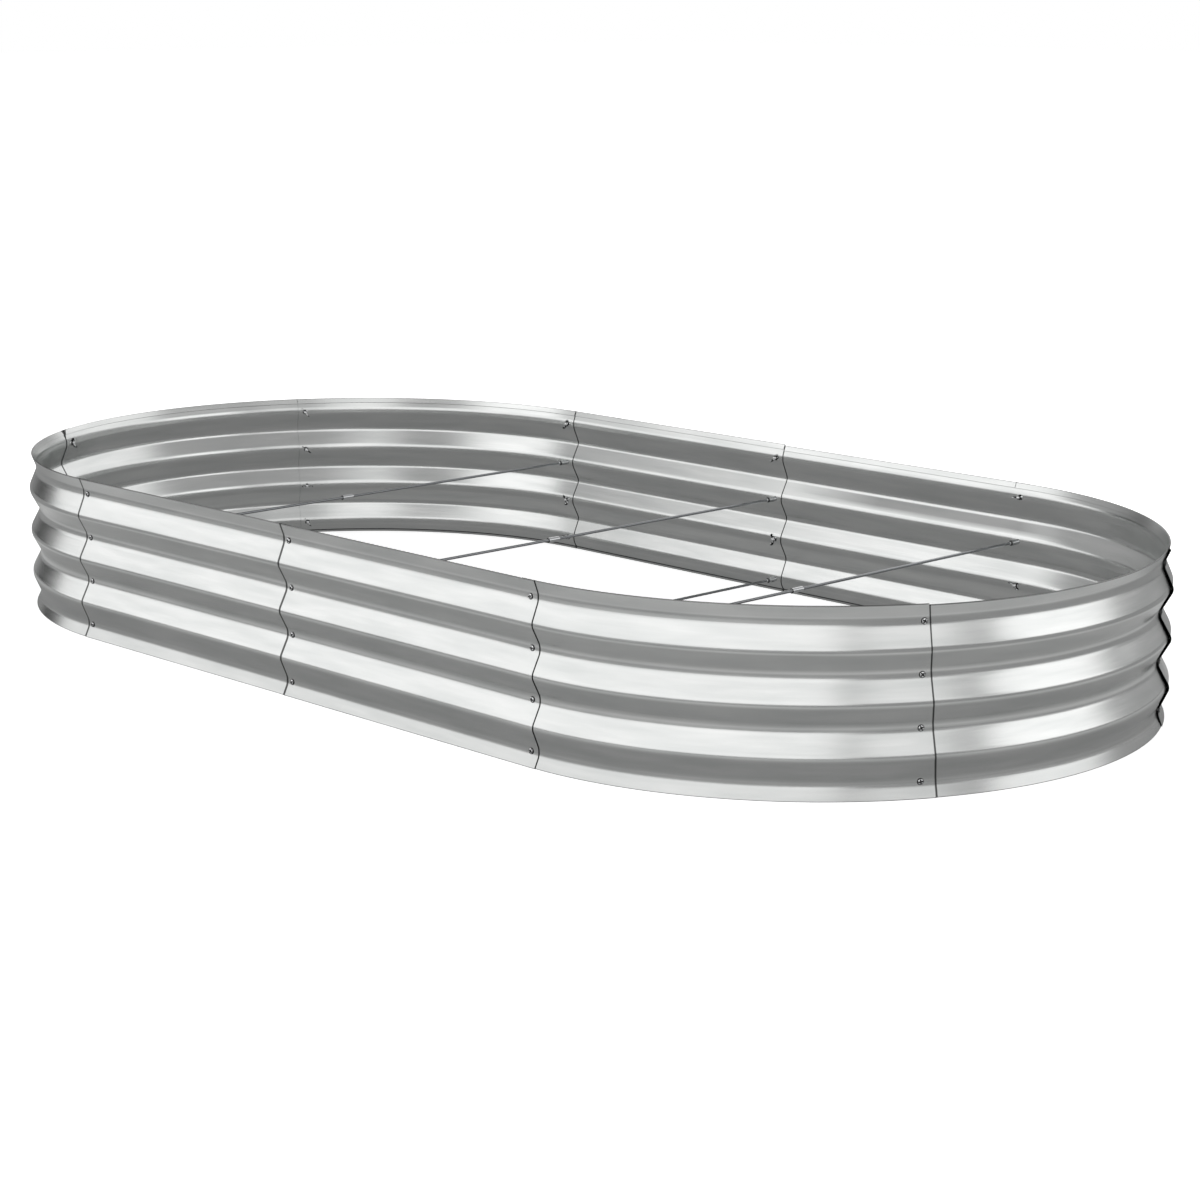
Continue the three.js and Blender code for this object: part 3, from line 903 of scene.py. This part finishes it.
for number, (seam, _) in enumerate(seam_order):
    for row in all_rows:
        on_rod = (seam, row) in rod_ends
        node = f"{'rod' if on_rod else 'wing'}_screw_{seam}_{row}"
        turn = math.radians(wing_turn(number, seam, row))
        place = screw_place(seam, row) @ Matrix.Rotation(turn, 4, "Z")
        points, faces, painted_shade = rod_screw_parts if on_rod else wing_screw_parts
        mesh = new_mesh(node, placed(points, place), faces)
        # the screw's painted shade
        add_painted_shade(mesh, painted_shade)
        finished(f"screw_{seam}_{row}", mesh, [node], "zinc_fasteners", plated)
        if not on_rod:
            nut = nut_mesh.copy()
            nut.transform(place @ turned_over)
            finished(f"wing_nut_{seam}_{row}", nut, [node], "zinc_fasteners", nut_metal)
bpy.data.meshes.remove(nut_mesh)

# ---- Tie rods

end_shade_reach = 1.5 * mm  # of the painted dark ring at a coupling's ends, from the end
# a ring this far from a coupling's end, just past its painted dark ring
unshaded_from = 1.7 * mm


def finished_rod(name, node, profile, sides, place, radius, material, shaded_ends=()):
    """A round piece of a tie rod in its place. Its drawn lines follow a UV of the distance along it and the
    distance round it, and a coupling has painted shade at its ends."""
    mesh = new_mesh(name, *turned(profile, sides))
    x, y, along = vertices(mesh).T
    add_uv(mesh, "sheet", np.stack([along, radius * np.arctan2(y, x)], -1))
    # Painted shade: a dark ring at each of these ends
    near_ends = [np.abs(along - end) < end_shade_reach for end in shaded_ends]
    add_painted_shade(mesh, np.sum(near_ends, axis=0, dtype=float) if near_ends else np.zeros(len(along)))
    mesh.transform(place)
    finished(name, mesh, [node], "rod_steel", material)


def end_coupling(name, node, place):
    """The long nut at a rod's wall end: a round barrel with a narrow neck, bored for the screw."""
    bore = screw_radius + thread_clearance / 2
    depth = screw_reach + bore_runout
    barrel = end_coupling_length - end_coupling_neck
    neck_radius = rod_radius + 0.9 * mm
    edge = 1.2 * mm
    inner = end_coupling_radius - edge
    bevel = 0.4 * mm
    round_off = np.linspace(0, math.pi / 2, 6)
    profile = [(0, depth), (bore, depth), (bore, bevel), (bore + bevel, 0)]
    profile += [(inner + edge * math.sin(b), edge - edge * math.cos(b)) for b in round_off]
    profile += [(end_coupling_radius, unshaded_from), (end_coupling_radius, barrel - unshaded_from)]
    profile += [(inner + edge * math.cos(b), barrel - edge + edge * math.sin(b)) for b in round_off]
    profile += [(neck_radius, barrel), (neck_radius, end_coupling_length - bevel)]
    profile += [(neck_radius - bevel, end_coupling_length), (0, end_coupling_length)]
    finished_rod(name, node, profile, nut_sides, place, end_coupling_radius, coupling_steel, (0, barrel))


def middle_coupling(name, node, place, length):
    """The long nut that joins two rod halves: a round barrel with bevelled ends."""
    low, high = length - middle_coupling_length / 2, length + middle_coupling_length / 2
    radius = middle_coupling_radius
    bevel = 0.7 * mm
    bore = rod_radius + 0.05 * mm
    mouth = 0.5 * mm
    # One end as (radius, distance from the end)
    end = [(bore, mouth), (bore + mouth, 0), (radius - bevel, 0), (radius, bevel), (radius, unshaded_from)]
    profile = [(0, length), (bore, length), *[(r, low + z) for r, z in end]]
    profile += [*[(r, high - z) for r, z in end[::-1]], (bore, length + mouth), (0, length + mouth)]
    finished_rod(name, node, profile, nut_sides, place, radius, coupling_steel, (low, high))


def rod_half(name, node, place, length):
    """A plain round rod from inside its end coupling to the middle."""
    first = end_coupling_length - 0.5 * mm
    last = length - 0.3 * mm
    bevel = 0.4 * mm
    rings = np.linspace(first + bevel, last - bevel, 12)
    profile = [(0, first), (rod_radius - bevel, first), *[(rod_radius, z) for z in rings]]
    profile += [(rod_radius - bevel, last), (0, last)]
    finished_rod(name, node, profile, rod_sides, place, rod_radius, rod_steel)


for rod, front, back, row in tie_rods:
    wall_face = Vector((0, 0, nut_base))
    front_end = screw_place(front, row) @ wall_face
    back_end = screw_place(back, row) @ wall_face
    across = back_end - front_end
    half = across.length / 2
    for side, end, way in (("front", front_end, across), ("back", back_end, -across)):
        node = f"tie_rod_{rod}_{side}"
        place = Matrix.Translation(end) @ way.to_track_quat("Z", "Y").to_matrix().to_4x4()
        rod_half(f"rod_{rod}_{side}", node, place, half)
        end_coupling(f"end_coupling_{rod}_{side}", node, place)
        if side == "front":
            middle_coupling(f"middle_coupling_{rod}", node, place, half)

# ---- The studio

# How pale the metal sees the floor, with painted shade by the wall: inside the bed, outside by the wall,
# off it, and far off
floor_inside = 0.34
floor_by_wall = 0.22
floor_off_wall = 0.78
floor_far_off = 0.33
by_wall = 20 * mm
off_wall = 280 * mm
far_off = 480 * mm
# Light of its own that the metal sees in the floor: everywhere, and more along the inside of the wall, so
# that its foot mirrors no dark corner
floor_glow_in_metal = 0.12
foot_glow = 0.07
foot_glow_middle = end_radius - 10 * mm
foot_glow_fade = (15 * mm, 40 * mm)
# What the eye sees of the floor: its paint, and light added by the bed, where it keeps a soft shadow, and
# where the shadow has faded out
floor_paint = 0.95
floor_glow = 0.64
faded_out = 700 * mm
floor_half = 40.0
# The room that the metal sees: its light, the light overhead, and the dark corner low down on the left. The
# pairs are where each fades in, as parts of the way looked along.
room_light = 0.416
overhead_light = 0.096
overhead = (0.8, 0.95)
corner_left = (-0.94, -0.985)
corner_low = (0.2, 0.08)
corner_loss = 0.95


def studio_floor():
    """A plain floor. The eye sees it white with a soft shadow. The metal sees it grey, with painted shade
    by the wall, by the distance from the wall, which is the oval's: the length of (max(|x| - a, 0), y)
    less the end radius."""
    signs = [(-1, -1, 0), (1, -1, 0), (1, 1, 0), (-1, 1, 0)]
    floor = new_object("floor", new_mesh("floor", np.multiply(signs, floor_half), [[0, 1, 2, 3]]))
    material, tree = new_material("studio_floor")
    place = add_node(tree, PLACE).outputs["Object"]
    folded = add_node(tree, VECTOR_MATH, {0: place}, operation="ABSOLUTE").outputs[0]
    nearest = {0: folded, 1: (straight_length, 0, 0)}
    nearest = add_node(tree, VECTOR_MATH, nearest, operation="MINIMUM").outputs[0]
    from_line = {0: folded, 1: nearest}
    from_line = add_node(tree, VECTOR_MATH, from_line, operation="DISTANCE").outputs["Value"]
    metal_view = floor_inside
    for start, end, change in (
        (0.0, by_wall, floor_by_wall - floor_inside),
        (0.0, off_wall, floor_off_wall - floor_by_wall),
        (off_wall, far_off, floor_far_off - floor_off_wall),
    ):
        ramp = {0: from_line, 1: end_radius + start, 2: end_radius + end, 3: 0.0, 4: change}
        ramp = add_node(tree, RANGE, ramp).outputs[0]
        metal_view = add_node(tree, MATH, {0: metal_view, 1: ramp}, operation="ADD").outputs[0]
    from_foot = add_node(tree, MATH, {0: from_line, 1: foot_glow_middle}, operation="SUBTRACT").outputs[0]
    from_foot = add_node(tree, MATH, {0: from_foot}, operation="ABSOLUTE").outputs[0]
    near, far = foot_glow_fade
    lit_foot = {0: from_foot, 1: near, 2: far, 3: floor_glow_in_metal + foot_glow, 4: floor_glow_in_metal}
    glow_in_metal = add_node(tree, RANGE, lit_foot).outputs[0]
    glow_to_eye = {0: from_line, 1: end_radius, 2: end_radius + faded_out, 3: floor_glow, 4: 1.0}
    glow_to_eye = add_node(tree, RANGE, glow_to_eye).outputs[0]
    path = add_node(tree, "ShaderNodeLightPath").outputs
    in_metal = {0: path["Is Glossy Ray"], 1: path["Is Transmission Ray"]}
    in_metal = add_node(tree, MATH, in_metal, operation="MAXIMUM").outputs[0]
    level = add_node(tree, "ShaderNodeMix", {0: in_metal, 2: floor_paint, 3: metal_view}, data_type="FLOAT")
    matt = add_node(tree, "ShaderNodeBsdfDiffuse", {"Color": level.outputs[0]})
    glow = {0: path["Is Camera Ray"], 1: glow_to_eye}
    glow = add_node(tree, MATH, glow, operation="MULTIPLY").outputs[0]
    glow = {0: in_metal, 1: glow_in_metal, 2: glow}
    glow = add_node(tree, MATH, glow, operation="MULTIPLY_ADD").outputs[0]
    light = add_node(tree, "ShaderNodeEmission", {"Strength": glow})
    both = add_node(tree, "ShaderNodeAddShader", {0: matt.outputs[0], 1: light.outputs[0]})
    add_node(tree, "ShaderNodeOutputMaterial", {"Surface": both.outputs[0]})
    floor.data.materials.append(material)


def studio_world():
    """White to the eye. To the metal it is a grey room: pale all round, dark overhead, and dark low down
    on the left."""
    world = bpy.data.worlds.new("studio")
    bpy.context.scene.world = world
    world.use_nodes = True
    tree = world.node_tree
    tree.nodes.clear()
    way = add_node(tree, PLACE).outputs["Generated"]
    way = add_node(tree, SEPARATE, {0: way}).outputs
    fades = []
    for value, (start, end), at_start, at_end in (
        (way["Z"], overhead, room_light, overhead_light),
        (way["X"], corner_left, 0.0, 1.0),
        (way["Z"], corner_low, 0.0, corner_loss),
    ):
        fades.append(add_node(tree, RANGE, {0: value, 1: start, 2: end, 3: at_start, 4: at_end}).outputs[0])
    room, leftward, low = fades
    dark = add_node(tree, MATH, {0: leftward, 1: low}, operation="MULTIPLY").outputs[0]
    room = add_node(tree, "ShaderNodeMix", {0: dark, 2: room, 3: 0.0}, data_type="FLOAT").outputs[0]
    seen = add_node(tree, "ShaderNodeLightPath").outputs["Is Camera Ray"]
    strength = add_node(tree, "ShaderNodeMix", {0: seen, 2: room, 3: 1.0}, data_type="FLOAT").outputs[0]
    light = add_node(tree, "ShaderNodeBackground", {"Color": (1.0, 1.0, 1.0, 1.0), "Strength": strength})
    add_node(tree, "ShaderNodeOutputWorld", {"Surface": light.outputs[0]})


def softbox(name, left, right, low, high, level, side_fades, top_fade):
    """A soft light standing upright from left to right as the bed sees it, glowing at a level where 1 is
    white. A rectangle glows with its power / (pi * area). It fades out over some length at both sides and
    at the top, so that its reflection has no hard edge."""
    (x0, y0), (x1, y1) = left, right
    width = math.hypot(x1 - x0, y1 - y0)
    lamp = bpy.data.lights.new(name, "AREA")
    lamp.shape = "RECTANGLE"
    lamp.size = width
    lamp.size_y = high - low
    lamp.energy = level * math.pi * width * lamp.size_y
    lamp.use_nodes = True
    tree = lamp.node_tree
    tree.nodes.clear()
    place = add_node(tree, "ShaderNodeNewGeometry").outputs["Parametric"]
    place = add_node(tree, SEPARATE, {0: place}).outputs
    left_fade, right_fade = side_fades
    strength = 1.0
    for across, edge, full in (
        (place["X"], 0.0, left_fade / width),
        (place["X"], 1.0, 1.0 - right_fade / width),
        (place["Y"], 1.0, 1.0 - top_fade / lamp.size_y),
    ):
        ramp = {0: across, 1: edge, 2: full, 3: 0.0, 4: 1.0}
        ramp = add_node(tree, RANGE, ramp, interpolation_type="SMOOTHSTEP").outputs[0]
        strength = add_node(tree, MATH, {0: strength, 1: ramp}, operation="MULTIPLY").outputs[0]
    light = add_node(tree, "ShaderNodeEmission", {"Strength": strength})
    add_node(tree, "ShaderNodeOutputLight", {"Surface": light.outputs[0]})
    box = new_object(name, lamp)
    box.location = ((x0 + x1) / 2, (y0 + y1) / 2, (low + high) / 2)
    towards_bed = Vector((y0 - y1, x1 - x0, 0))
    box.rotation_euler = towards_bed.to_track_quat("-Z", "Y").to_euler()
    box.visible_camera = False


# Softboxes as the metal shows them: along the front a low one and two taller ones above its ends, then two
# on the right and one behind
softbox("front_low", (-8, -2), (3.9, -2), 0.02, 1.65, 0.87, (0.8, 0.8), 0.1)
softbox("front_tall_left", (-3.7, -2), (-0.7, -2), 1.6, 3.5, 1.12, (0.7, 0.7), 1.2)
softbox("front_tall_right", (0, -2), (3.9, -2), 1.6, 4.8, 0.84, (0.8, 0.8), 2.2)
softbox("right_front", (3.5, -2.2), (3.5, 0.5), 0.7, 3.6, 0.68, (1.0, 1.0), 0.8)
softbox("right", (3.5, -0.35), (3.5, 5.6), 0.35, 2.9, 1.06, (1.3, 2.8), 0.7)
softbox("behind", (2.4, 3), (-4, 3), 0.8, 3.0, 0.76, (0.8, 0.8), 0.6)


def photo_camera():
    """The camera of the photograph: its lens, place and heading, found from the screws and seams."""
    camera = new_object("camera", bpy.data.cameras.new("camera"))
    camera.data.lens = 82.8
    camera.data.sensor_width = 36
    camera.data.clip_end = 200
    camera.location = (3.5482, -3.2885, 1.1454)
    camera.rotation_euler = (math.radians(90 - 12.504), 0, math.radians(46.191))
    bpy.context.scene.camera = camera


studio_floor()
studio_world()
photo_camera()
bpy.context.scene.view_settings.view_transform = "Standard"
